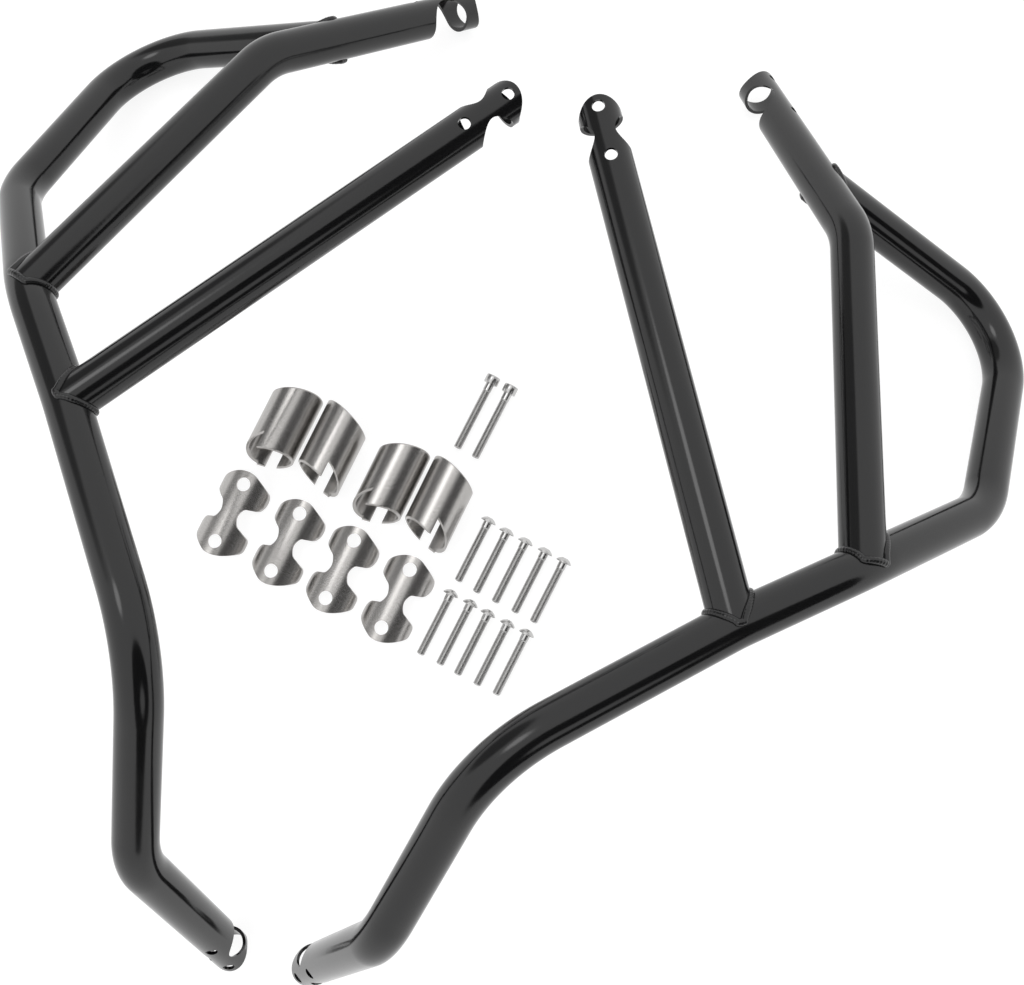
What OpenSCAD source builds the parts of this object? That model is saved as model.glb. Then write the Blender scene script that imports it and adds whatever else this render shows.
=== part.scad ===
// Pair of motorcycle crash bars laid out on the floor with their fitting kit.
// Each bar is a bent main tube with two stay tubes coped and welded to it. All
// its free ends are cut as clamp tongues: a round notch lets the motorcycle's
// own frame tube cross, and leaves a strip with a bolt hole on either side of it.
// The right bar is the mirror image of the left one. Between the bars lie split
// sleeves, cross plates and screws.

/* [Tubes] */
// Outside diameter of the bent tubes
tube_d = 25.4; // [22:0.1:30]
// Wall thickness of the bent tubes
tube_wall = 2; // [1.5:0.1:3]
// Centreline radius of the tight bends
bend_r = 52; // [40:1:70]
// Centreline radius of the easy bends
easy_bend_r = 90; // [70:1:120]
// Size of the weld beads round the tube joints
weld_size = 3.5; // [2:0.1:5]

/* [Frame tubes] */
// Diameter of the motorcycle's upper frame tube
upper_frame_d = 29.5; // [26:0.1:32]
// Diameter of the motorcycle's lower frame tubes
lower_frame_d = 21.5; // [18:0.1:24]
// Gap left round a frame tube, on the diameter
frame_gap = 0.5; // [0.2:0.1:1.5]

/* [Clamp tongues] */
// Distance between the two bolt holes of an upper tongue
upper_bolt_gap = 43; // [40:0.5:50]
// Distance between the two bolt holes of a lower tongue
lower_bolt_gap = 31; // [29:0.5:38]
// Diameter of the bolt holes in the tongues
bolt_hole_d = 7.4; // [6.4:0.1:8.5]
// Tube left above the notch of an upper tongue
upper_neck = 3; // [1.5:0.1:5]
// Tube left above the notch of a lower tongue
lower_neck = 1.6; // [1.2:0.1:4]
// Distance from the last hole to the end of the tube
end_band = 7; // [5.5:0.5:12]
// Rounding of an upper tongue's tip, seen along its holes
upper_tip_r = 20; // [14:1:40]
// Rounding of a lower tongue's tip, seen along its holes
lower_tip_r = 14; // [13.5:0.5:40]

/* [Sleeves] */
// Length of a split sleeve
sleeve_l = 42; // [36:1:56]
// Wall thickness of a sleeve
sleeve_wall = 2; // [1:0.1:3]
// Width of the slit along the bottom of a sleeve
sleeve_slit = 8; // [4:0.5:14]
// Slant of the sleeve ends, seen from above
sleeve_slant = 17; // [0:1:25]
// Lean of the sleeve ends, seen from the side
sleeve_lean = 15; // [0:1:20]
// Depth of the V cut in a sleeve's near end
sleeve_v = 15; // [8:1:20]

/* [Cross plates] */
// Wall thickness of a cross plate
plate_wall = 2; // [1:0.1:3]
// Diameter of the holes in a cross plate
plate_hole_d = 9.6; // [8:0.1:10]
// Length of the band round each hole of a cross plate
plate_band = 20; // [18:0.5:26]
// Angle that a cross plate's bands wrap round
plate_wrap = 143; // [120:1:170]
// Width of a cross plate at its neck
plate_neck = 12; // [8:0.5:18]

/* [Screws] */
// Thread diameter of the screws
screw_d = 6; // [5:0.5:6]
// Thread length of the cap screws
cap_screw_l = 50; // [40:5:60]
// Thread length of the button-head screws
button_screw_l = 45; // [40:5:60]

/* [Hidden] */
$fn = 64;
tube_r = tube_d / 2;
bore_r = tube_r - tube_wall;
upper_notch_d = upper_frame_d + frame_gap;
lower_notch_d = lower_frame_d + frame_gap;
sleeve_bore_r = (upper_frame_d + frame_gap) / 2;
sleeve_r = sleeve_bore_r + sleeve_wall;
plate_r = sleeve_r + frame_gap / 2 + plate_wall;
cap_head_d = screw_d * 10 / 6;
button_head_d = screw_d * 11 / 6;
button_head_h = screw_d * 0.6;
past = 0.5;      // how far a cutting shape runs past what it cuts
lap = 1;         // how far a straight length runs into the bend beside it
lip = 0.06;      // how much a bend is thicker, so that the straight ends inside it

// Middle of the laid-out set, taken off every place below
mid_x = -29.244;
mid_y = 115.439;

// Bend points of the left bar's centrelines, from the set's own datum
p_top = [-146.9, 388.4, 74];
p_hoop = [-307.8, 424.8, -4.35];
p_side = [-351.9, 285.3, 82];
p_upper = [-307.4, 198.1, 153.8];
p_lower = [-272.5, 126.9, 174];
p_knee = [-217.3, -8, 197.9];
p_shin = [-237.2, -123.1, 140.8];
p_foot = [-219.4, -205.4, 6.75];
p_stay_bend = [-185.2, 361.9, 105.2];
p_stay_end = [-65.7, 444.4, 9.46];
p_low_end = [-27, 311.5, 145.4];

main_path = [p_top, p_hoop, p_side, p_upper, p_lower, p_knee, p_shin, p_foot];
main_bends = [0, bend_r, bend_r, easy_bend_r, easy_bend_r, easy_bend_r, bend_r, 0];
joint_path = [(p_side + p_upper) / 2, p_upper, p_lower, (p_lower + p_knee) / 2];
joint_bends = [0, easy_bend_r, easy_bend_r, 0];
stay_path = [p_upper, p_stay_bend, p_stay_end];
stay_bends = [0, bend_r, 0];
// The bores run a little past the open ends
main_bore_path = [p_top, p_hoop, p_side, p_upper, p_lower, p_knee, p_shin,
                  p_foot + past * unit(p_foot - p_shin)];
stay_bore_path = [p_upper, p_stay_bend, p_stay_end + past * unit(p_stay_end - p_stay_bend)];

// Turn of each tongue about its tube, so that its holes face outwards
upper_turn = 126;
lower_turn = 184;
foot_turn = 181;

// Place of the right bar: the left one mirrored, turned and moved
right_turn = -40.3;
right_x = -202.3;
right_y = 84.7;

// Middle and heading of each loose piece on the floor
sleeve_at = [[-192, 140.5], [-157.9, 125.3], [-118.1, 101.8], [-84.7, 86.7]];
plate_at = [[-228.7, 83.4], [-189.6, 63.1], [-152, 44.6], [-113.9, 24.8]];
cap_at = [[-51.0, 172.5], [-38.8, 165.7]];
button_at = [[-52.3, 76.7], [-40.0, 69.1], [-27.2, 62.4], [-14.0, 55.6], [-1.4, 49.0],
             [-77.6, 27.5], [-64.4, 20.8], [-52.5, 14.1], [-39.4, 7.2], [-26.5, 0.9]];
kit_turn = 64.2;
screw_turn = 62.7;

function unit(v) = v / norm(v);
function polar(v) = acos(v[2] / norm(v));
function azimuth(v) = atan2(v[1], v[0]);
// First side axis of the frame that heads along v
function side(v) = let(p = polar(v), a = azimuth(v)) [cos(p) * cos(a), cos(p) * sin(a), -sin(p)];
function heading(path, i) = unit(path[i] - path[i - 1]);
function turn(path, i) = acos(heading(path, i) * heading(path, i + 1));
// Length of straight tube that the bend at point i takes up on either side
function trim(path, bends, i) =
    i == 0 || i == len(path) - 1 ? 0 : bends[i] * tan(turn(path, i) / 2);

// Moves to point p and heads +Z along v
module head_along(p, v) { translate(p) rotate([0, polar(v), azimuth(v)]) children(); }

// Quarter-ring piece: starts at the origin along +Z and bends towards +X
module elbow(bend, angle, r) {
    translate([bend, 0, 0]) rotate([90, 0, 180])
        rotate_extrude(angle = angle) translate([bend, 0]) circle(r = r);
}

// Solid rod of radius r along a path, from point i on, b being the frame's X axis
module rod_on(path, bends, r, i, b) {
    u = heading(path, i);
    last = i == len(path) - 1;
    straight = norm(path[i] - path[i - 1]) - trim(path, bends, i - 1) - trim(path, bends, i);
    before = i > 1 ? lap : 0;
    translate([0, 0, -before]) cylinder(r = r, h = straight + before + (last ? 0 : lap));
    if (!last) {
        v = heading(path, i + 1);
        angle = turn(path, i);
        w = unit(v - (u * v) * u);
        translate([0, 0, straight]) rotate([0, 0, atan2(cross(b, w) * u, b * w)]) {
            elbow(bends[i], angle, r + lip);
            translate([bends[i], 0, 0]) rotate([0, angle, 0]) translate([-bends[i], 0, 0])
                rod_on(path, bends, r, i + 1, cos(angle) * w - sin(angle) * u);
        }
    }
}

module rod(path, bends, r) {
    u = heading(path, 1);
    head_along(path[0], u) rod_on(path, bends, r, 1, side(u));
}

// Straight rod of radius r from p towards q, l long, starting back behind p
module spur(p, q, r, l, back = 0) {
    head_along(p, q - p) translate([0, 0, -back]) cylinder(r = r, h = l + back);
}

// What a tongue's notch and holes take off a tube that ends at q, coming from p
module tongue_cut(p, q, turned, gap, notch_d, neck, tip) {
    centre = end_band + gap / 2;
    head_along(q, q - p) rotate([0, 0, turned]) {
        // The strip that stays is on the +X side, and the notch opens towards -X
        translate([tube_r - neck - notch_d / 2, 0, -centre]) {
            rotate([90, 0, 0]) cylinder(d = notch_d, h = tube_d + 2 * past, center = true);
            translate([-tube_d, -tube_r - past, -notch_d / 2])
                cube([tube_d, tube_d + 2 * past, notch_d]);
        }
        for (s = [-1, 1]) translate([0, 0, -centre + s * gap / 2]) rotate([0, 90, 0])
            cylinder(d = bolt_hole_d, h = tube_r + past);
        // Rounds the tip, but for a narrow flat in its middle
        translate([0, 0, 0.2 - tip]) difference() {
            translate([-tube_r - past, -tube_r - past, 0])
                cube([tube_d + 2 * past, tube_d + 2 * past, tip + past]);
            rotate([0, 90, 0]) cylinder(r = tip, h = tube_d + 4 * past, center = true);
        }
    }
}

module main_tube() {
    color([0.09, 0.09, 0.095]) difference() {
        rod(main_path, main_bends, tube_r);
        rod(main_bore_path, main_bends, bore_r);
        // Coped to sit on the side of the upper stay
        spur(p_stay_bend, p_stay_end, tube_r, norm(p_stay_end - p_stay_bend));
        tongue_cut(p_shin, p_foot, foot_turn, lower_bolt_gap, lower_notch_d, lower_neck, lower_tip_r);
    }
}

module upper_stay() {
    color([0.09, 0.09, 0.095]) difference() {
        rod(stay_path, stay_bends, tube_r);
        rod(stay_bore_path, stay_bends, bore_r);
        // Coped to sit on the side of the main tube
        rod(joint_path, joint_bends, tube_r);
        tongue_cut(p_stay_bend, p_stay_end, upper_turn, upper_bolt_gap, upper_notch_d, upper_neck, upper_tip_r);
    }
}

module lower_stay() {
    color([0.09, 0.09, 0.095]) difference() {
        spur(p_lower, p_low_end, tube_r, norm(p_low_end - p_lower));
        spur(p_lower, p_low_end, bore_r, norm(p_low_end - p_lower) + past);
        rod(joint_path, joint_bends, tube_r);
        tongue_cut(p_lower, p_low_end, lower_turn, lower_bolt_gap, lower_notch_d, lower_neck, lower_tip_r);
    }
}

// Bead round the saddle-shaped joint of a stay that leaves the main tube at p for q
module stay_weld(p, q) {
    color([0.1, 0.1, 0.105]) difference() {
        intersection() {
            rod(joint_path, joint_bends, tube_r + weld_size);
            spur(p, q, tube_r + weld_size, 3 * tube_r);
        }
        rod(joint_path, joint_bends, tube_r);
        spur(p, q, tube_r, 4 * tube_r, tube_r);
    }
}

// Bead where the main tube's top end meets the upper stay
module top_weld() {
    color([0.1, 0.1, 0.105]) difference() {
        intersection() {
            spur(p_stay_bend, p_stay_end, tube_r + weld_size, norm(p_stay_end - p_stay_bend));
            spur(p_top, p_hoop, tube_r + weld_size, 4 * tube_r);
        }
        spur(p_stay_bend, p_stay_end, tube_r, norm(p_stay_end - p_stay_bend), past);
        spur(p_top, p_hoop, tube_r, 5 * tube_r, tube_r);
    }
}

module left() { translate([-mid_x, -mid_y, 0]) children(); }
module right() {
    translate([right_x - mid_x, right_y - mid_y, 0]) rotate([0, 0, right_turn])
        mirror([1, 0, 0]) children();
}
module on_floor(at, turned) { translate([at[0] - mid_x, at[1] - mid_y, 0]) rotate([0, 0, turned]) children(); }

// Split sleeve along X, open in a slit along its bottom. Its ends are cut by two
// parallel planes, and a V is cut in the near end. hand is 1 or -1 for the two hands.
module sleeve(hand) {
    color([0.72, 0.71, 0.7]) translate([0, 0, sqrt(pow(sleeve_r, 2) - pow(sleeve_slit / 2, 2))])
        difference() {
            rotate([0, 90, 0]) cylinder(r = sleeve_r, h = sleeve_l + 40, center = true);
            rotate([0, 90, 0]) cylinder(r = sleeve_bore_r, h = sleeve_l + 41, center = true);
            translate([-50, -sleeve_slit / 2, -sleeve_r - past])
                cube([100, sleeve_slit, sleeve_r]);
            for (e = [-1, 1]) rotate([0, 0, -hand * sleeve_slant]) rotate([0, sleeve_lean, 0])
                translate([e > 0 ? sleeve_l / 2 : -sleeve_l / 2 - 60, -40, -50])
                    cube([60, 80, 100]);
            // One leg of the V runs along the sleeve, the other slants round its side
            rotate([hand * 55, 0, 0]) translate([-sleeve_l / 2 - 2, 0, 0])
                linear_extrude(height = 30)
                    polygon([[sleeve_v, hand * 10], [-16, hand * 10], [-16, -hand * 30.8]]);
        }
}

// Cross plate: a shell cut to a band round each hole, with a neck between them
module cross_plate() {
    centre = plate_r * cos(plate_wrap / 2);
    span = upper_bolt_gap;
    notch_r = (span - plate_band) / 2 + 5;
    color([0.74, 0.73, 0.72]) translate([0, 0, -centre]) difference() {
        rotate([0, 90, 0]) cylinder(r = plate_r, h = span + plate_band, center = true);
        rotate([0, 90, 0]) cylinder(r = plate_r - plate_wall, h = span + plate_band + 1, center = true);
        translate([-50, -50, centre - 50]) cube([100, 100, 50]);
        // Round notches on both sides of the neck
        for (s = [-1, 1]) translate([0, s * (plate_neck / 2 + notch_r), 0])
            cylinder(r = notch_r, h = 40);
        // Rounded outer corners
        for (a = [-1, 1], s = [-1, 1]) translate([a * (span / 2 + plate_band / 2), s * plate_r, 0])
            rotate([0, 0, 45]) cube([13, 13, 50], center = true);
        for (a = [-1, 1]) translate([a * span / 2, 0, 0]) cylinder(d = plate_hole_d, h = 40);
    }
}

// Lays a screw of head radius rh and tip radius rt down, head at the origin
module laid(rh, rt, l) {
    tilt = atan((rh - rt) / l);
    translate([0, 0, rh * cos(tilt)]) rotate([0, 90 + tilt, 0]) children();
}

// Threaded shank, drawn plain, with a chamfered tip
module shank(l) {
    cylinder(d = screw_d, h = l - 0.8);
    translate([0, 0, l - 0.8]) cylinder(d1 = screw_d, d2 = screw_d - 1.6, h = 0.8);
}

module cap_screw() {
    color([0.7, 0.7, 0.7]) laid(cap_head_d / 2, screw_d / 2, cap_screw_l - 0.8) difference() {
        union() {
            translate([0, 0, -screw_d]) cylinder(d = cap_head_d, h = screw_d);
            shank(cap_screw_l);
        }
        translate([0, 0, -screw_d - 1]) cylinder(d = screw_d * 5.77 / 6, h = screw_d / 2 + 1, $fn = 6);
    }
}

module button_screw() {
    dome_r = (pow(button_head_d / 2, 2) + pow(button_head_h - 0.6, 2)) / (2 * (button_head_h - 0.6));
    color([0.7, 0.7, 0.7]) laid(button_head_d / 2, screw_d / 2, button_screw_l - 0.8) difference() {
        union() {
            intersection() {
                translate([0, 0, -button_head_h]) cylinder(d = button_head_d, h = button_head_h);
                translate([0, 0, dome_r - button_head_h]) sphere(r = dome_r);
            }
            shank(button_screw_l);
        }
        // Six-pointed star socket
        translate([0, 0, -button_head_h - 1]) linear_extrude(height = button_head_h * 0.5 + 1)
            polygon([for (k = [0:11]) (k % 2 == 0 ? screw_d * 0.33 : screw_d * 0.23) * [cos(k * 30), sin(k * 30)]]);
    }
}

left() main_tube();  // left_main_tube
left() upper_stay();  // left_upper_stay
left() lower_stay();  // left_lower_stay
left() top_weld();  // left_top_weld
left() stay_weld(p_upper, p_stay_bend);  // left_upper_weld
left() stay_weld(p_lower, p_low_end);  // left_lower_weld
right() main_tube();  // right_main_tube
right() upper_stay();  // right_upper_stay
right() lower_stay();  // right_lower_stay
right() top_weld();  // right_top_weld
right() stay_weld(p_upper, p_stay_bend);  // right_upper_weld
right() stay_weld(p_lower, p_low_end);  // right_lower_weld
on_floor(sleeve_at[0], kit_turn) sleeve(-1);  // sleeve_1
on_floor(sleeve_at[1], kit_turn) sleeve(1);  // sleeve_2
on_floor(sleeve_at[2], kit_turn) sleeve(-1);  // sleeve_3
on_floor(sleeve_at[3], kit_turn) sleeve(1);  // sleeve_4
on_floor(plate_at[0], kit_turn) cross_plate();  // cross_plate_1
on_floor(plate_at[1], kit_turn) cross_plate();  // cross_plate_2
on_floor(plate_at[2], kit_turn) cross_plate();  // cross_plate_3
on_floor(plate_at[3], kit_turn) cross_plate();  // cross_plate_4
on_floor(cap_at[0], screw_turn + 180) cap_screw();  // cap_screw_1
on_floor(cap_at[1], screw_turn + 180) cap_screw();  // cap_screw_2
on_floor(button_at[0], screw_turn + 180) button_screw();  // button_screw_1
on_floor(button_at[1], screw_turn + 180) button_screw();  // button_screw_2
on_floor(button_at[2], screw_turn + 180) button_screw();  // button_screw_3
on_floor(button_at[3], screw_turn + 180) button_screw();  // button_screw_4
on_floor(button_at[4], screw_turn + 180) button_screw();  // button_screw_5
on_floor(button_at[5], screw_turn + 180) button_screw();  // button_screw_6
on_floor(button_at[6], screw_turn + 180) button_screw();  // button_screw_7
on_floor(button_at[7], screw_turn + 180) button_screw();  // button_screw_8
on_floor(button_at[8], screw_turn + 180) button_screw();  // button_screw_9
on_floor(button_at[9], screw_turn + 180) button_screw();  // button_screw_10
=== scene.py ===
import math

import bmesh
import bpy
import numpy as np
from mathutils import Matrix


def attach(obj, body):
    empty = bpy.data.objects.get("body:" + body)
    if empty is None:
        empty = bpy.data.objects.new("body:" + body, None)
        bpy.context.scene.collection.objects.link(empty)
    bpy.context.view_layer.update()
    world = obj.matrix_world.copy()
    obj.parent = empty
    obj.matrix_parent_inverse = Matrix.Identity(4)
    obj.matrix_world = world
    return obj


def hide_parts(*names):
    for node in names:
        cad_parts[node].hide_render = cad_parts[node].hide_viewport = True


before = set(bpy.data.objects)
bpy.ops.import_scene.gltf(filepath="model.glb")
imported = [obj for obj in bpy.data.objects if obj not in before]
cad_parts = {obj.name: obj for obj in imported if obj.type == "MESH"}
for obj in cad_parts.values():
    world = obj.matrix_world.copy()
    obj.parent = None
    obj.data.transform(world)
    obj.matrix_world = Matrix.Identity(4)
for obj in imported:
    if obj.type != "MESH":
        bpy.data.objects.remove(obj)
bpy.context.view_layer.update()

# The black coat on the bars: a gloss black powder coat, sprayed on and baked.
# It flows out nearly flat, with a faint orange peel left in it.
peel = bpy.data.node_groups.new("orange_peel", "ShaderNodeTree")
peel.interface.new_socket("Normal", in_out="OUTPUT", socket_type="NodeSocketVector")
peel.interface.new_socket("Patch", in_out="OUTPUT", socket_type="NodeSocketFloat")
n, wire = peel.nodes, peel.links.new
place = n.new("ShaderNodeTexCoord")
fine = n.new("ShaderNodeTexNoise")
fine.inputs["Scale"].default_value = 420.0
fine.inputs["Detail"].default_value = 2.0
broad = n.new("ShaderNodeTexNoise")
broad.inputs["Scale"].default_value = 26.0
broad.inputs["Detail"].default_value = 3.0
bump = n.new("ShaderNodeBump")
bump.inputs["Strength"].default_value = 0.10
bump.inputs["Distance"].default_value = 0.00012
out = n.new("NodeGroupOutput")
wire(place.outputs["Object"], fine.inputs["Vector"])
wire(place.outputs["Object"], broad.inputs["Vector"])
wire(fine.outputs["Fac"], bump.inputs["Height"])
wire(bump.outputs["Normal"], out.inputs["Normal"])
wire(broad.outputs["Fac"], out.inputs["Patch"])

black_coat = bpy.data.materials.new("black_coat")
black_coat.use_nodes = True
n, wire = black_coat.node_tree.nodes, black_coat.node_tree.links.new
skin = n["Principled BSDF"]
skin.inputs["Base Color"].default_value = (0.005, 0.005, 0.0053, 1)
skin.inputs["IOR"].default_value = 1.5
surface = n.new("ShaderNodeGroup")
surface.node_tree = peel
gloss = n.new("ShaderNodeMapRange")
gloss.inputs["From Min"].default_value = 0.3
gloss.inputs["From Max"].default_value = 0.7
gloss.inputs["To Min"].default_value = 0.11
gloss.inputs["To Max"].default_value = 0.17
wire(surface.outputs["Patch"], gloss.inputs["Value"])
wire(gloss.outputs["Result"], skin.inputs["Roughness"])
wire(surface.outputs["Normal"], skin.inputs["Normal"])

# The main tubes: one length of 25.4 mm steel tube with a 2 mm wall for each bar,
# bent cold in six places. The top end is coped onto the upper stay and the foot
# is cut as a clamp tongue. The right bar mirrors the left one.
set_middle = np.array([-29.244, 115.439, 0.0])
tube_r, bore_r = 12.7, 10.7
p_top, p_hoop = (-146.9, 388.4, 74.0), (-307.8, 424.8, -4.35)
p_side, p_upper = (-351.9, 285.3, 82.0), (-307.4, 198.1, 153.8)
p_lower, p_knee = (-272.5, 126.9, 174.0), (-217.3, -8.0, 197.9)
p_shin, p_foot = (-237.2, -123.1, 140.8), (-219.4, -205.4, 6.75)
p_stay_bend, p_stay_end = (-185.2, 361.9, 105.2), (-65.7, 444.4, 9.46)
p_low_end = (-27.0, 311.5, 145.4)
main_points = [p_top, p_hoop, p_side, p_upper, p_lower, p_knee, p_shin, p_foot]
main_bends = [0, 52, 52, 90, 90, 90, 52, 0]

put_left = Matrix.Scale(0.001, 4) @ Matrix.Translation((-set_middle).tolist())
put_right = (
    Matrix.Scale(0.001, 4)
    @ Matrix.Translation((-202.3 - set_middle[0], 84.7 - set_middle[1], 0))
    @ Matrix.Rotation(math.radians(-40.3), 4, "Z")
    @ Matrix.Diagonal((-1, 1, 1, 1))
)


def unit(v):
    """v / |v|"""
    return np.asarray(v, float) / np.linalg.norm(v)


def bent_path(points, bends, fan=2.0, stride=14.0):
    """Stations along a bent tube: C = M + R(sin a . u - cos a . w) through a bend of
    radius R round M, from heading u, w being the side it turns to, and straight
    between bends. Each station's two side axes X, Y turn with the bend and never
    twist. fan is the step in a bend in degrees, stride the step between bends."""
    points = [np.asarray(p, float) for p in points]
    u = unit(points[1] - points[0])
    x = unit(np.cross(u, (0.3, 0.2, 0.93)))
    y = np.cross(u, x)
    centres, xs, ys, here = [], [], [], points[0]
    for i in range(1, len(points)):
        last = i == len(points) - 1
        v = u if last else unit(points[i + 1] - points[i])
        angle = math.acos(max(-1.0, min(1.0, float(u @ v))))
        to = points[i] - u * (0 if last else bends[i] * math.tan(angle / 2))
        length = np.linalg.norm(to - here)
        t = np.linspace(0, 1, max(2, int(length / stride) + 1))[:, None]
        t = t if last else t[:-1]
        centres.append(here + t * (to - here))
        xs.append(np.repeat(x[None], len(t), 0))
        ys.append(np.repeat(y[None], len(t), 0))
        if last:
            break
        k, w = unit(np.cross(u, v)), unit(v - (u @ v) * u)
        a = np.linspace(0, angle, int(math.degrees(angle) / fan) + 2)[:, None]
        c, s = np.cos(a), np.sin(a)
        centres.append(to + bends[i] * (w + s * u - c * w))
        for axis, kept in ((x, xs), (y, ys)):
            kept.append(axis * c + np.cross(k, axis) * s + k * (k @ axis) * (1 - c))
        here, u, x, y = centres[-1][-1], v, xs[-1][-1], ys[-1][-1]
        centres[-1], xs[-1], ys[-1] = centres[-1][:-1], xs[-1][:-1], ys[-1][:-1]
    return tuple(np.concatenate(q) for q in (centres, xs, ys))


def wall_grid(rings, closed=True):
    """Faces of a skin over rings of equally many points: ring i, side j sits at
    i n + j, and its quad is (i,j) (i,j+1) (i+1,j+1) (i+1,j). closed joins the last
    ring to the first one."""
    m, count = rings
    i = np.arange(m if closed else m - 1)[:, None]
    j = np.arange(count)[None, :]
    i2, j2 = (i + 1) % m, (j + 1) % count
    return np.stack([i * count + j, i * count + j2, i2 * count + j2, i2 * count + j], -1).reshape(-1, 4)


def mesh_from(name, verts, quads, extra=()):
    """A mesh of the given corners, in mm, quads and further faces, wound outwards."""
    m = bpy.data.meshes.new(name)
    m.from_pydata(verts.tolist(), [], quads.tolist() + [list(f) for f in extra])
    b = bmesh.new()
    b.from_mesh(m)
    bmesh.ops.recalc_face_normals(b, faces=b.faces)
    b.to_mesh(m)
    b.free()
    return m


def hollow_tube(name, points, bends, outer, inner, sides=96):
    """Tube wall C(s) + r (cos q . X + sin q . Y): the outside forwards and the bore
    backwards make one closed skin."""
    c, x, y = bent_path(points, bends)
    q = np.arange(sides) * 2 * math.pi / sides
    spoke = np.cos(q)[None, :, None] * x[:, None] + np.sin(q)[None, :, None] * y[:, None]
    skin = np.concatenate([c[:, None] + outer * spoke, (c[:, None] + inner * spoke)[::-1]])
    return mesh_from(name, skin.reshape(-1, 3), wall_grid(skin.shape[:2]))


def solid_rod(name, points, bends, r, sides=96):
    """Rod C(s) + r (cos q . X + sin q . Y) with flat ends, which cuts its shape out."""
    c, x, y = bent_path(points, bends)
    q = np.arange(sides) * 2 * math.pi / sides
    spoke = np.cos(q)[None, :, None] * x[:, None] + np.sin(q)[None, :, None] * y[:, None]
    skin = c[:, None] + r * spoke
    last = (len(c) - 1) * sides
    ends = [range(sides), range(last, last + sides)]
    return mesh_from(name, skin.reshape(-1, 3), wall_grid(skin.shape[:2], closed=False), ends)


def flat_prism(name, outline, low, high):
    """The outline, given in x and y, drawn from z = low to z = high."""
    flat = np.asarray(outline, float)
    count = len(flat)
    skin = np.concatenate(
        [np.c_[flat, np.full(count, low)], np.c_[flat, np.full(count, high)]]
    )
    ends = [range(count), range(count, 2 * count)]
    return mesh_from(name, skin, wall_grid((2, count), closed=False), ends)


def carve(mesh, cutters, keep=False):
    """Takes the cutters off the mesh, one after another, or keeps what lies in them."""
    body = bpy.data.objects.new("body", mesh)
    bpy.context.scene.collection.objects.link(body)
    tools = []
    for cutter in cutters:
        tool = bpy.data.objects.new("tool", cutter)
        bpy.context.scene.collection.objects.link(tool)
        cut = body.modifiers.new("cut", "BOOLEAN")
        cut.operation = "INTERSECT" if keep else "DIFFERENCE"
        cut.solver, cut.object = "EXACT", tool
        tools.append(tool)
    bpy.context.view_layer.update()
    done = bpy.data.meshes.new_from_object(body.evaluated_get(bpy.context.evaluated_depsgraph_get()))
    for o in [body, *tools]:
        bpy.data.objects.remove(o)
    return done


def show(name, mesh, material, node, matrix, smooth=35.0, edge=0.0, steps=2):
    """Shows a mesh given in mm as the piece that stands for a CAD node. edge is the
    width of the rounding on its sharp edges, in mm."""
    m = mesh.copy()
    m.transform(matrix)
    if matrix.determinant() < 0:
        m.flip_normals()
    m.materials.clear()
    m.materials.append(material)
    m.polygons.foreach_set("use_smooth", np.ones(len(m.polygons), bool))
    m.set_sharp_from_angle(angle=math.radians(smooth))
    o = bpy.data.objects.new(name, m)
    bpy.context.scene.collection.objects.link(o)
    if edge:
        soft = o.modifiers.new("soft_edges", "BEVEL")
        soft.width, soft.segments = edge * 0.001, steps
        soft.limit_method, soft.angle_limit = "ANGLE", math.radians(smooth)
        soft.harden_normals, soft.use_clamp_overlap = True, True
    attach(o, "root")
    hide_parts(node)
    return o


# The clamp tongues: how far each is turned about its tube, the distance between its
# two bolt holes, its notch's diameter, the wall left above the notch, and its tip's
# radius
foot_tongue = {"turned": 181, "gap": 31, "notch_d": 22, "neck": 1.6, "tip": 14}
upper_tongue = {"turned": 126, "gap": 43, "notch_d": 30, "neck": 3, "tip": 20}
lower_tongue = {**foot_tongue, "turned": 184}
end_band, bolt_hole_r = 7.0, 3.7


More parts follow.
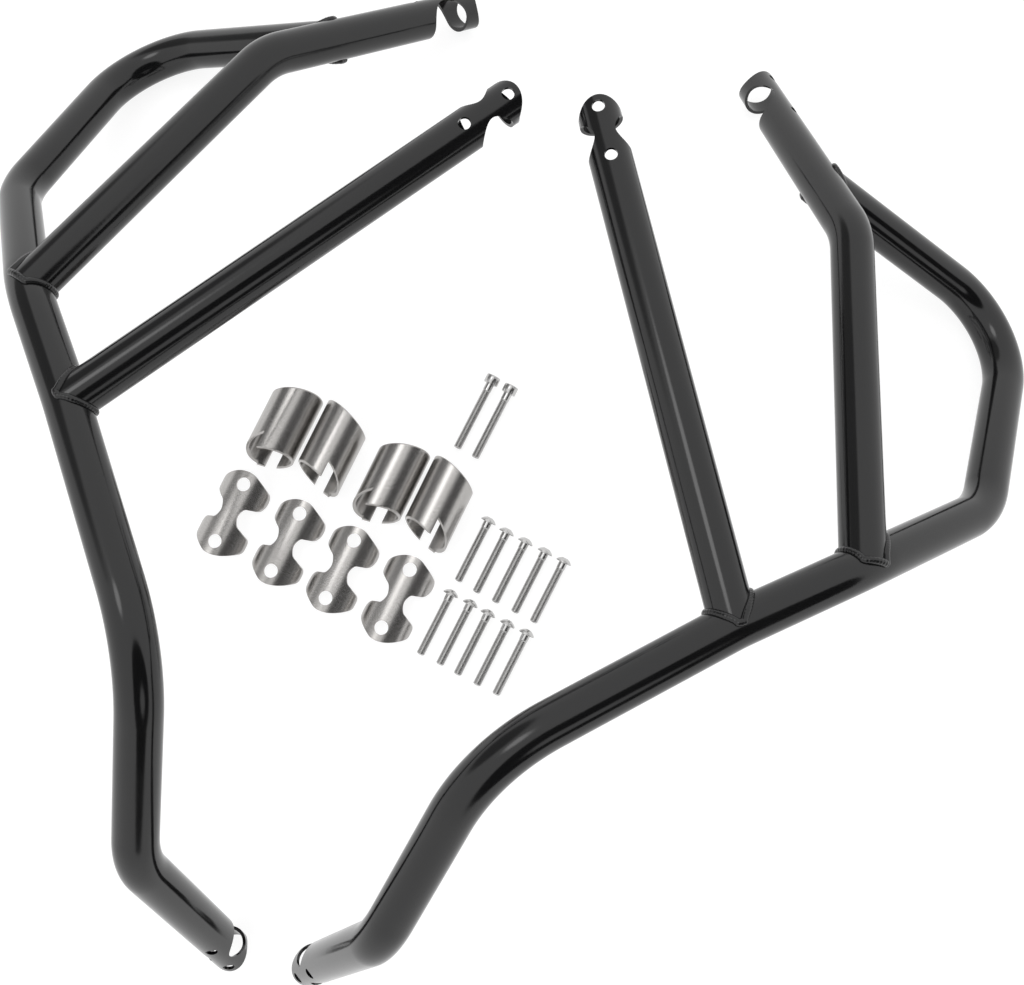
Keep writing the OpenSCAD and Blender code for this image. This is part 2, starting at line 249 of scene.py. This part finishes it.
def tongue_cutters(before, end, turned, gap, notch_d, neck, tip):
    """What is cut off a tube that ends at a point to make its clamp tongue: the round
    notch with its open side, the two bolt holes, and all that lies past the tip's arc
    z = tip (cos q - 1), y = tip sin q. Z runs out along the tube, and the strip that
    stays is on the +X side."""
    reach = 20  # how far the cutters run, well past the tube's side
    w = unit(np.subtract(end, before))
    polar, azimuth = math.acos(w[2]), math.atan2(w[1], w[0])
    at = (
        Matrix.Translation(end)
        @ Matrix.Rotation(azimuth, 4, "Z")
        @ Matrix.Rotation(polar, 4, "Y")
        @ Matrix.Rotation(math.radians(turned), 4, "Z")
    )
    centre = -(end_band + gap / 2)
    axis_x, r = tube_r - neck - notch_d / 2, notch_d / 2
    q = np.linspace(-math.pi / 2, math.pi / 2, 49)
    # Drawn in x and z, then laid down so that its depth runs along y
    round_end = np.c_[axis_x + r * np.cos(q), r * np.sin(q)][1:-1]
    notch = np.r_[[[-30, -r], [axis_x, -r]], round_end, [[axis_x, r], [-30, r]]]
    notch = flat_prism("notch", notch + [0, centre], -reach, reach)
    notch.transform(Matrix.Rotation(math.pi / 2, 4, "X"))
    q = np.arange(48) * math.pi / 24
    holes = []
    for side in (-1, 1):
        hole = flat_prism("hole", bolt_hole_r * np.c_[np.cos(q), np.sin(q)], 0, reach)
        hole.transform(Matrix.Rotation(math.pi / 2, 4, "Y"))
        hole.transform(Matrix.Translation((0, 0, centre + side * gap / 2)))
        holes.append(hole)
    q = np.linspace(-1, 1, 41) * math.asin(min(0.995, 13.4 / tip))
    arc = np.c_[tip * np.sin(q), tip * (np.cos(q) - 1)]
    past = np.r_[arc, [[arc[-1, 0], reach], [arc[0, 0], reach]]]
    tip_cut = flat_prism("tip", past, -reach, reach)
    tip_cut.transform(Matrix.Rotation(math.pi / 2, 4, "Z") @ Matrix.Rotation(math.pi / 2, 4, "X"))
    cutters = [notch, *holes, tip_cut]
    for c in cutters:
        c.transform(at)
    return cutters


stay_side = solid_rod("stay_side", [p_stay_bend, p_stay_end], [0, 0], tube_r)
main_tube = carve(
    hollow_tube("main_tube", main_points, main_bends, tube_r, bore_r),
    [stay_side, *tongue_cutters(p_shin, p_foot, **foot_tongue)],
)
show("left_main_tube_coated", main_tube, black_coat, "left_main_tube", put_left)
show("right_main_tube_coated", main_tube, black_coat, "right_main_tube", put_right)

# The upper stays: the same tube, bent once. One end is coped round the main tube,
# the other is the tongue for the wide upper frame tube.


def halfway(a, b):
    """(a + b) / 2"""
    return tuple((np.add(a, b) / 2).tolist())


joint_points = [halfway(p_side, p_upper), p_upper, p_lower, halfway(p_lower, p_knee)]
joint_bends = [0, 90, 90, 0]
main_side = solid_rod("main_side", joint_points, joint_bends, tube_r)
upper_stay = carve(
    hollow_tube("upper_stay", [p_upper, p_stay_bend, p_stay_end], [0, 52, 0], tube_r, bore_r),
    [main_side, *tongue_cutters(p_stay_bend, p_stay_end, **upper_tongue)],
)
show("left_upper_stay_coated", upper_stay, black_coat, "left_upper_stay", put_left)
show("right_upper_stay_coated", upper_stay, black_coat, "right_upper_stay", put_right)

# The lower stays: a straight length of the same tube, coped at one end and cut as a
# small clamp tongue at the other.
lower_stay = carve(
    hollow_tube("lower_stay", [p_lower, p_low_end], [0, 0], tube_r, bore_r),
    [main_side, *tongue_cutters(p_lower, p_low_end, **lower_tongue)],
)
show("left_lower_stay_coated", lower_stay, black_coat, "left_lower_stay", put_left)
show("right_lower_stay_coated", lower_stay, black_coat, "right_lower_stay", put_right)

# The weld beads: run by hand round each coped joint in small overlapping pools, and
# coated with the rest of the bar.


def weld_bead(name, start, end, others, bends, size=2.0, pitch=1.9, sides=20, steps=300):
    """Ring C(q) + b (cos e . N + sin e . B) round the joint of a tube with a bent one.
    C(q) is the point on the tube at angle q that lies tube_r off the other centreline,
    found by halving, N the tube's outward side and B across. b swells by a tenth with
    each pool, and wavers a little as a hand does: 5 and 11 times round the ring."""
    w = unit(np.subtract(end, start))
    a = unit(np.cross(w, (0.3, 0.2, 0.93)))
    b = np.cross(w, a)
    q = np.arange(steps) * 2 * math.pi / steps
    side = np.cos(q)[:, None] * a + np.sin(q)[:, None] * b
    line = bent_path(others, bends, fan=0.5, stride=0.8)[0]
    near, far = np.zeros(steps), np.full(steps, 60.0)
    for _ in range(22):
        t = (near + far) / 2
        spot = np.asarray(start) + t[:, None] * w + tube_r * side
        gap = np.sqrt(((spot[:, None] - line[None]) ** 2).sum(-1).min(1))
        near, far = np.where(gap < tube_r, t, near), np.where(gap < tube_r, far, t)
    ring = np.asarray(start) + near[:, None] * w + tube_r * side
    along = np.roll(ring, -1, 0) - np.roll(ring, 1, 0)
    length = np.r_[0, np.cumsum(np.linalg.norm(np.roll(ring, -1, 0) - ring, axis=1))]
    tangent = along / np.linalg.norm(along, axis=1)[:, None]
    across = np.cross(tangent, side)
    across /= np.linalg.norm(across, axis=1)[:, None]
    pools = round(length[-1] / pitch)
    e = np.arange(sides) * 2 * math.pi / sides
    s = length[:-1, None] / length[-1]
    turn = 2 * math.pi * (pools * s + 0.12 * np.cos(e)[None, :])
    waver = 0.03 * np.sin(2 * math.pi * 5 * s) + 0.02 * np.sin(2 * math.pi * 11 * s + 1)
    swell = 1 + 0.10 * np.abs(np.sin(turn / 2)) ** 0.6 + waver
    rim = np.cos(e)[None, :, None] * side[:, None] + np.sin(e)[None, :, None] * across[:, None]
    skin = ring[:, None] + size * swell[..., None] * rim
    return mesh_from(name, skin.reshape(-1, 3), wall_grid(skin.shape[:2]))


beads = {
    "top_weld": weld_bead("top_weld", p_top, p_hoop, [p_stay_bend, p_stay_end], [0, 0]),
    "upper_weld": weld_bead("upper_weld", p_upper, p_stay_bend, joint_points, joint_bends),
    "lower_weld": weld_bead("lower_weld", p_lower, p_low_end, joint_points, joint_bends),
}
for bead, mesh in beads.items():
    for hand, put in (("left_", put_left), ("right_", put_right)):
        name = hand + bead
        show(name + "_rippled", mesh, black_coat, name, put, smooth=80)

# The bright steel: stainless sheet, rolled and then brushed along its length, with
# fine scratches of uneven depth.
brushed = bpy.data.node_groups.new("brushed_grain", "ShaderNodeTree")
brushed.interface.new_socket("Along", in_out="INPUT", socket_type="NodeSocketVector")
brushed.interface.new_socket("Roughness", in_out="OUTPUT", socket_type="NodeSocketFloat")
brushed.interface.new_socket("Tone", in_out="OUTPUT", socket_type="NodeSocketFloat")
brushed.interface.new_socket("Normal", in_out="OUTPUT", socket_type="NodeSocketVector")
n, wire = brushed.nodes, brushed.links.new
into, out = n.new("NodeGroupInput"), n.new("NodeGroupOutput")
stretch = n.new("ShaderNodeMapping")
stretch.inputs["Scale"].default_value = (1.0, 55.0, 1.0)
fine = n.new("ShaderNodeTexNoise")
fine.inputs["Scale"].default_value = 60.0
fine.inputs["Detail"].default_value = 4.0
fine.inputs["Roughness"].default_value = 0.65
rough = n.new("ShaderNodeMapRange")
rough.inputs["From Min"].default_value = 0.3
rough.inputs["From Max"].default_value = 0.7
rough.inputs["To Min"].default_value = 0.20
rough.inputs["To Max"].default_value = 0.34
tone = n.new("ShaderNodeMapRange")
tone.inputs["From Min"].default_value = 0.3
tone.inputs["From Max"].default_value = 0.7
tone.inputs["To Min"].default_value = 0.0
tone.inputs["To Max"].default_value = 1.0
bump = n.new("ShaderNodeBump")
bump.inputs["Strength"].default_value = 0.18
bump.inputs["Distance"].default_value = 0.00006
wire(into.outputs["Along"], stretch.inputs["Vector"])
wire(stretch.outputs["Vector"], fine.inputs["Vector"])
wire(fine.outputs["Fac"], rough.inputs["Value"])
wire(fine.outputs["Fac"], tone.inputs["Value"])
wire(fine.outputs["Fac"], bump.inputs["Height"])
wire(rough.outputs["Result"], out.inputs["Roughness"])
wire(tone.outputs["Result"], out.inputs["Tone"])
wire(bump.outputs["Normal"], out.inputs["Normal"])

bright_steel = bpy.data.materials.new("bright_steel")
bright_steel.use_nodes = True
n, wire = bright_steel.node_tree.nodes, bright_steel.node_tree.links.new
skin = n["Principled BSDF"]
skin.inputs["Metallic"].default_value = 1.0
grain = n.new("ShaderNodeGroup")
grain.node_tree = brushed
sheet_place = n.new("ShaderNodeUVMap")
sheet_place.uv_map = "along"
tint = n.new("ShaderNodeMix")
tint.data_type = "RGBA"
tint.inputs[6].default_value = (0.34, 0.325, 0.31, 1)
tint.inputs[7].default_value = (0.56, 0.55, 0.54, 1)
wire(sheet_place.outputs["UV"], grain.inputs["Along"])
wire(grain.outputs["Tone"], tint.inputs[0])
wire(tint.outputs[2], skin.inputs["Base Color"])
wire(grain.outputs["Roughness"], skin.inputs["Roughness"])
wire(grain.outputs["Normal"], skin.inputs["Normal"])

# The split sleeves: four C-shaped liners between the frame tube and the clamps,
# 2 mm stainless tube, slit along the bottom, with slanting ends and a V cut in one.
kit_turn = 64.2
sleeve_bore_r, sleeve_wall, sleeve_slit = 15.0, 2.0, 8.0
sleeve_r = sleeve_bore_r + sleeve_wall
sleeve_lift = math.sqrt(sleeve_r**2 - (sleeve_slit / 2) ** 2)


def on_floor(at, turned, height=0.0):
    """Puts a loose piece down at its place in the set, turned about the vertical."""
    return (
        Matrix.Scale(0.001, 4)
        @ Matrix.Translation((at[0] - set_middle[0], at[1] - set_middle[1], height))
        @ Matrix.Rotation(math.radians(turned), 4, "Z")
    )


def along_uv(mesh, axis_height):
    """Keeps the sheet's own place as UV: X along the piece, and the angle round its
    axis times the sleeve's radius, both in mm / 100."""
    co = np.empty(len(mesh.vertices) * 3)
    mesh.vertices.foreach_get("co", co)
    co = co.reshape(-1, 3)
    round_it = np.arctan2(co[:, 1], co[:, 2] - axis_height)
    uv = np.c_[co[:, 0] / 100, round_it * sleeve_r / 100]
    corner = np.empty(len(mesh.loops), np.int32)
    mesh.loops.foreach_get("vertex_index", corner)
    layer = mesh.uv_layers.new(name="along")
    layer.data.foreach_set("uv", uv[corner].astype(np.float32).ravel())
    return mesh


def sleeve(hand, length=42.0, slant=17.0, lean=15.0, v=15.0):
    """Shell x = x0 + t (x1 - x0), y = r sin a, z = r cos a. Both ends lie in leaning
    planes N . p = -L/2 and L/2; x0 runs further in along the V, whose straight leg is
    at r sin(a + 55 deg) = 10. The rims are chamfered by 0.35 mm."""
    lean_r, slant_r, beta = math.radians(lean), math.radians(slant), math.radians(55)
    nx = math.cos(lean_r) * math.cos(slant_r)
    ny = -hand * math.cos(lean_r) * math.sin(slant_r)
    nz = -math.sin(lean_r)
    c = 0.35

    def ends(r, a):
        plane = -(ny * r * np.sin(a) + nz * r * np.cos(a)) / nx
        low, high = plane - length / 2 / nx, plane + length / 2 / nx
        g = hand * a + beta
        eta = r * np.sin(g)
        cut = -length / 2 - 2 + v + (eta - 10) * (v + 16) / 40.8
        low = np.where((eta < 10) & (np.cos(g) > 0), np.maximum(low, cut), low)
        return low, high

    def fan(r):
        edge = math.pi - math.asin(sleeve_slit / 2 / r)
        leg = hand * (math.asin(10 / r) - beta)
        before, after = leg - 0.0015, leg + 0.0015
        return np.r_[np.linspace(-edge, before, 90), np.linspace(after, edge, 90)]

    outer, inner = sleeve_r, sleeve_bore_r
    t = np.r_[0, 0.012, 0.04, np.linspace(0.1, 0.9, 12), 0.96, 0.988, 1]
    ao, ai = fan(outer), fan(inner)
    lo, ho = ends(outer, ao)
    li, hi = ends(inner, ai)
    rows = []
    for k in t:
        rows.append((outer, ao, lo + c + k * (ho - lo - 2 * c)))
    rows += [(outer - c, ao, ho), (inner + c, ai, hi)]
    for k in t[::-1]:
        rows.append((inner, ai, li + c + k * (hi - li - 2 * c)))
    rows += [(inner + c, ai, li), (outer - c, ao, lo)]
    skin = np.stack([np.c_[x, r * np.sin(a), r * np.cos(a)] for r, a, x in rows])
    m, count = skin.shape[:2]
    quads = wall_grid((m, count)).reshape(m, count, 4)[:, :-1].reshape(-1, 4)
    caps = [range(0, m * count, count), range(count - 1, m * count, count)]
    return along_uv(mesh_from("sleeve", skin.reshape(-1, 3), quads, caps), 0.0)


sleeve_places = [(-192, 140.5), (-157.9, 125.3), (-118.1, 101.8), (-84.7, 86.7)]
sleeve_kinds = {-1: sleeve(-1), 1: sleeve(1)}
for i, at in enumerate(sleeve_places):
    show(
        f"sleeve_{i + 1}_brushed",
        sleeve_kinds[-1 if i % 2 == 0 else 1],
        bright_steel,
        f"sleeve_{i + 1}",
        on_floor(at, kit_turn, sleeve_lift),
        smooth=50,
    )

# The cross plates: 2 mm stainless pressings that arch over a sleeve, with a hole for
# a screw in each end and a narrow neck between. The edges are tumbled smooth.


def smooth_outline(corners, steps=10):
    """Closed curve through the corners: on each stretch the cubic whose slopes are
    half the step between the neighbours on either side."""
    p = np.asarray(corners, float)
    a, b, c, d = np.roll(p, 1, 0), p, np.roll(p, -1, 0), np.roll(p, -2, 0)
    t = (np.arange(steps) / steps)[None, :, None]
    a, b, c, d = (q[:, None] for q in (a, b, c, d))
    square = (2 * a - 5 * b + 4 * c - d) * t**2
    cube = (3 * b - a - 3 * c + d) * t**3
    return (0.5 * (2 * b + (c - a) * t + square + cube)).reshape(-1, 2)


def cross_plate(outer=19.25, wall=2.0, wrap=143.0, span=43.0, hole_r=4.8):
    """Arch y = r sin a, z = r cos a - r0 over a straight x, kept inside an outline that
    looks the same turned by half a turn."""
    half = math.radians(wrap / 2)
    drop = outer * math.cos(half)
    rows, count = 37, 97
    x, a = np.meshgrid(
        np.linspace(-36, 36, rows), np.linspace(-half - 0.02, half + 0.02, count), indexing="ij"
    )
    top, under = (
        np.stack([x, r * np.sin(a), r * np.cos(a) - drop], -1) for r in (outer, outer - wall)
    )
    skin = np.concatenate([top, under[:, ::-1]], axis=1)
    shell = mesh_from(
        "shell",
        skin.reshape(-1, 3),
        wall_grid(skin.shape[:2], closed=False),
        [range(2 * count), range((rows - 1) * 2 * count, rows * 2 * count)],
    )
    # Round one hole: distance inwards along the plate, and distance to the right
    lobe = [(21.5, 6.2), (15.8, 8.0), (14.2, 11.6), (12.6, 15.4), (8.0, 17.9), (2.2, 18.0)]
    lobe += [(-1.8, 15.6), (-6.6, 8.6), (-9.2, 2.6), (-8.6, -4.6), (-5.4, -11.6)]
    lobe += [(-0.6, -17.0), (4.0, -18.0), (9.0, -17.2), (12.6, -12.4), (15.4, -8.4)]
    here = [(span / 2 - u, -w) for u, w in lobe]
    there = [(-p, -q) for p, q in here]
    outline = flat_prism("outline", smooth_outline(here + there), -2, 40)
    lower = flat_prism("floor", [(-40, -30), (40, -30), (40, 30), (-40, 30)], 0, 40)
    kept = carve(shell, [outline, lower], keep=True)
    q = np.arange(48) * math.pi / 24
    rim = hole_r * np.c_[np.cos(q), np.sin(q)]
    holes = [flat_prism("hole", rim + [s * span / 2, 0], -10, 40) for s in (-1, 1)]
    return along_uv(carve(kept, holes), -drop)


plate = cross_plate()
plate_places = [(-228.7, 83.4), (-189.6, 63.1), (-152, 44.6), (-113.9, 24.8)]
for i, at in enumerate(plate_places):
    show(
        f"cross_plate_{i + 1}_brushed",
        plate,
        bright_steel,
        f"cross_plate_{i + 1}",
        on_floor(at, kit_turn),
        smooth=50,
        edge=0.4,
        steps=3,
    )

# The screws: stock stainless screws with a rolled thread, two socket cap screws
# M6 x 50 and ten button-head screws M6 x 45, each resting on its head and its tip.
screw_steel = bpy.data.materials.new("screw_steel")
screw_steel.use_nodes = True
n, wire = screw_steel.node_tree.nodes, screw_steel.node_tree.links.new
skin = n["Principled BSDF"]
skin.inputs["Metallic"].default_value = 1.0
skin.inputs["Base Color"].default_value = (0.55, 0.545, 0.54, 1)
place = n.new("ShaderNodeTexCoord")
dull = n.new("ShaderNodeTexNoise")
dull.inputs["Scale"].default_value = 300.0
dull.inputs["Detail"].default_value = 3.0
rough = n.new("ShaderNodeMapRange")
rough.inputs["To Min"].default_value = 0.16
rough.inputs["To Max"].default_value = 0.32
wire(place.outputs["Object"], dull.inputs["Vector"])
wire(dull.outputs["Fac"], rough.inputs["Value"])
wire(rough.outputs["Result"], skin.inputs["Roughness"])

screw_turn = 62.7
thread_r, tip_chamfer = 3.0, 0.8
cap_head_r, cap_screw_l = 5.0, 50.0
button_head_r, button_screw_l = 5.5, 45.0


def turned_screw(name, head, length, pitch=1.0, plain=4.0, sides=48):
    """Rings (r(q, z) cos q, r(q, z) sin q, z). head lists the head's rings from the
    socket's floor outwards, each a height and a radius for every angle q. The thread
    is cut P/2 deep: its groove is 1.6 |2 f - 1| - 0.3, held between 0 and 1, f being
    the part of z/P - q/2pi past the whole turns. It fades in past the plain neck."""
    q = np.arange(sides) * 2 * math.pi / sides
    rows = [(np.full(sides, z), np.broadcast_to(r, sides)) for z, r in head]
    z = np.arange(0.0, length - 0.6, pitch / 8)
    f = np.mod(z[:, None] / pitch - q[None] / (2 * math.pi), 1)
    groove = np.clip(1.6 * np.abs(2 * f - 1) - 0.3, 0, 1)
    fade = np.clip((z - plain) / pitch, 0, 1)[:, None]
    r = thread_r - 0.03 - 0.5 * pitch * groove * fade
    r = np.minimum(r, (thread_r - tip_chamfer + (length - z) * 0.9)[:, None])
    rows += [(np.full(sides, zz), rr) for zz, rr in zip(z, r)]
    tip = ((length - 0.25, thread_r - 0.75), (length, thread_r - 1.1))
    rows += [(np.full(sides, zz), np.full(sides, rr)) for zz, rr in tip]
    skin = np.stack([np.c_[r * np.cos(q), r * np.sin(q), z] for z, r in rows])
    ends = [range(sides), range((len(rows) - 1) * sides, len(rows) * sides)]
    return mesh_from(name, skin.reshape(-1, 3), wall_grid(skin.shape[:2], closed=False), ends)


def laid(at, head_r, length):
    """Lays a screw down on the rim of its head and the edge of its tip."""
    tilt = math.atan((head_r - thread_r) / (length - tip_chamfer))
    return (
        on_floor(at, screw_turn + 180)
        @ Matrix.Translation((0, 0, head_r * math.cos(tilt)))
        @ Matrix.Rotation(math.pi / 2 + tilt, 4, "Y")
    )


q = np.arange(48) * 2 * math.pi / 48
hexagon = 5.0 / 2 / np.cos((q + math.pi / 6) % (math.pi / 3) - math.pi / 6)
cap_socket = [(-3.1, 0.3), (-3.0, hexagon * 0.98), (-5.8, hexagon), (-6.0, hexagon + 0.15)]
cap_top = [(-6.0, 4.3), (-5.9, 4.6), (-5.6, 4.9), (-5.3, cap_head_r)]
cap_side = [(-0.2, cap_head_r), (0.0, 4.85), (0.0, 3.1)]
cap_head = cap_socket + cap_top + cap_side
cap_screw = turned_screw("cap_screw", cap_head, cap_screw_l, plain=5.0)
star = 1.68 + 0.30 * np.cos(6 * q)
dome_top, dome_h = -3.6, 3.0
dome_r = (button_head_r**2 + dome_h**2) / (2 * dome_h)
dome_rings = (2.3, 2.8, 3.3, 3.8, 4.3, 4.7, 5.05, 5.3, button_head_r)
dome = [(dome_top + dome_r - math.sqrt(dome_r**2 - r**2), r) for r in dome_rings]
button_socket = [(-1.9, 0.2), (-1.8, star * 0.97), (-3.35, star), (-3.42, star + 0.12)]
button_side = [(-0.25, button_head_r), (0.0, 5.3), (0.0, 3.1)]
button_head = button_socket + dome + button_side
button_screw = turned_screw("button_screw", button_head, button_screw_l)

cap_places = [(-51.0, 172.5), (-38.8, 165.7)]
upper_row = [(-52.3, 76.7), (-40.0, 69.1), (-27.2, 62.4), (-14.0, 55.6), (-1.4, 49.0)]
lower_row = [(-77.6, 27.5), (-64.4, 20.8), (-52.5, 14.1), (-39.4, 7.2), (-26.5, 0.9)]
for kind, screw, places, head_r, length in (
    ("cap_screw", cap_screw, cap_places, cap_head_r, cap_screw_l),
    ("button_screw", button_screw, upper_row + lower_row, button_head_r, button_screw_l),
):
    for i, at in enumerate(places):
        name = f"{kind}_{i + 1}"
        where = laid(at, head_r, length)
        show(name + "_threaded", screw, screw_steel, name, where, smooth=40)

# The floor: a white sheet that fills the view, just under the pieces. The camera and
# the pieces' reflections see it at full white, but for the pieces' faint shadows.
half, drop = 4.0, -0.0004
corners = [(-half, -half, drop), (half, -half, drop), (half, half, drop), (-half, half, drop)]
floor_mesh = bpy.data.meshes.new("floor_sheet")
floor_mesh.from_pydata(corners, [], [(0, 1, 2, 3)])
floor_sheet = bpy.data.objects.new("floor_sheet", floor_mesh)
bpy.context.scene.collection.objects.link(floor_sheet)
white_sheet = bpy.data.materials.new("white_sheet")
white_sheet.use_nodes = True
n, wire = white_sheet.node_tree.nodes, white_sheet.node_tree.links.new
skin = n["Principled BSDF"]
skin.inputs["Base Color"].default_value = (0.9, 0.9, 0.9, 1)
skin.inputs["Roughness"].default_value = 0.9
glow = n.new("ShaderNodeEmission")
glow.inputs["Strength"].default_value = 1.2
seen = n.new("ShaderNodeLightPath")
mirrored = n.new("ShaderNodeMath")
mirrored.operation = "MAXIMUM"
either = n.new("ShaderNodeMath")
either.operation = "MAXIMUM"
share = n.new("ShaderNodeMath")
share.operation = "MULTIPLY"
share.inputs[1].default_value = 0.72
blend = n.new("ShaderNodeMixShader")
wire(seen.outputs["Is Camera Ray"], mirrored.inputs[0])
wire(seen.outputs["Is Glossy Ray"], mirrored.inputs[1])
wire(mirrored.outputs[0], either.inputs[0])
wire(seen.outputs["Is Transmission Ray"], either.inputs[1])
wire(either.outputs[0], share.inputs[0])
wire(share.outputs[0], blend.inputs["Fac"])
wire(skin.outputs["BSDF"], blend.inputs[1])
wire(glow.outputs["Emission"], blend.inputs[2])
wire(blend.outputs["Shader"], n["Material Output"].inputs["Surface"])
floor_mesh.materials.append(white_sheet)

# The light: a white studio tent. A small bright lamp just to the upper left of the
# camera draws the thin light lines along the tubes, and a wide dark gap to its lower
# right draws the black bands.
tent = bpy.data.worlds.new("tent")
bpy.context.scene.world = tent
tent.use_nodes = True
n, wire = tent.node_tree.nodes, tent.node_tree.links.new
back = n["Background"]
back.inputs["Color"].default_value = (1, 1, 1, 1)
looking = n.new("ShaderNodeTexCoord")


def zone(direction, inside, outside):
    """1 towards a direction, 0 away from it, with a soft edge between two angles."""
    dot = n.new("ShaderNodeVectorMath")
    dot.operation = "DOT_PRODUCT"
    dot.inputs[1].default_value = unit(direction).tolist()
    wire(looking.outputs["Generated"], dot.inputs[0])
    edge = n.new("ShaderNodeMapRange")
    edge.interpolation_type = "SMOOTHSTEP"
    edge.inputs["From Min"].default_value = math.cos(math.radians(outside))
    edge.inputs["From Max"].default_value = math.cos(math.radians(inside))
    wire(dot.outputs["Value"], edge.inputs["Value"])
    return edge.outputs["Result"]


def blend_value(value, to, mask):
    """value (1 - mask) + to mask"""
    mix = n.new("ShaderNodeMix")
    wire(mask, mix.inputs[0])
    if isinstance(value, float):
        mix.inputs[2].default_value = value
    else:
        wire(value, mix.inputs[2])
    mix.inputs[3].default_value = to
    return mix.outputs[0]


# Each patch of the tent: its strength, the way to it, and the angles in degrees
# between which its soft edge runs
dark_gap = (0.03, (0.75, -0.85, 1.0), 31, 33)
dim_side = (0.3, (-1.3, 1.1, 1.0), 18, 26)
slot_in_gap = (1.1, (0.95, -1.1, 1.0), 7, 11)
lamp = (3.8, (-0.25, 0.23, 1.0), 6, 11)
level = 1.15
for strength, way, inside, outside in (dark_gap, dim_side, slot_in_gap, lamp):
    level = blend_value(level, strength, zone(way, inside, outside))
wire(level, back.inputs["Strength"])

# The camera: held almost straight above the set, 0.78 m up.
camera_data = bpy.data.cameras.new("camera")
camera_data.sensor_width = 36.0
camera_data.lens = 40.46
camera_data.shift_x = 0.00137
camera_data.shift_y = 0.0049
camera_data.clip_start, camera_data.clip_end = 0.02, 50.0
camera = bpy.data.objects.new("camera", camera_data)
bpy.context.scene.collection.objects.link(camera)
right_way, up_way = (0.99887, 0.0, -0.04751), (0.00567, 0.99286, 0.11919)
back_way = (0.04717, -0.11933, 0.99173)
facing = Matrix((right_way, up_way, back_way)).transposed().to_4x4()
camera.matrix_world = Matrix.Translation((0.029244, -0.115439, 0.78224)) @ facing
bpy.context.scene.camera = camera
bpy.context.scene.view_settings.view_transform = "Standard"
